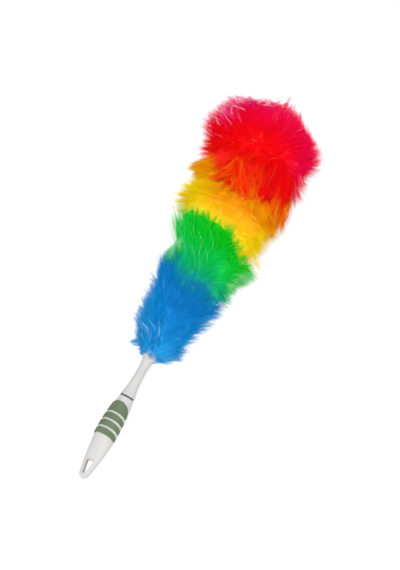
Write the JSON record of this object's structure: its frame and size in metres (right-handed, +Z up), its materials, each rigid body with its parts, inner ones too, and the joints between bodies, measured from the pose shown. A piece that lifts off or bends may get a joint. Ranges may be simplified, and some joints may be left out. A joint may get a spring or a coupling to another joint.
{
  "type": "microfiber duster",
  "caption": "Hand duster with a waisted white handle, soft grip pads, a tapered hang eye and a thick rainbow head of fluffy fibre on a twisted wire.",
  "frame": {"origin": "middle of the duster's footprint, on the surface that it lies on", "axes": "+X along the duster from the tail of its grip to the end of its head, +Y to its side, +Z up out of the broad face of the grip; the stick climbs 7.5 degrees towards the head"},
  "size_m": [0.6396, 0.1844, 0.1725],
  "materials": {
    "white_plastic": "satin",
    "soft_green": "matte",
    "dark_green": "matte",
    "steel": "bright drawn",
    "blue_fibre": "fluffy fibre",
    "green_fibre": "fluffy fibre",
    "yellow_fibre": "fluffy fibre",
    "red_fibre": "fluffy fibre"
  },
  "bodies": {
    "root": {"grip": "white_plastic", "thumb_pad": "soft_green", "grip_band_front": "soft_green", "grip_band_middle": "soft_green", "grip_band_rear": "soft_green", "seam_ring": "dark_green", "neck": "white_plastic", "crimp_sleeve": "steel", "twisted_wire": "steel", "tip_cap": "white_plastic", "blue_fluff": "blue_fibre", "green_fluff": "green_fibre", "yellow_fluff": "yellow_fibre", "red_fluff": "red_fibre"}
  },
  "joints": []
}
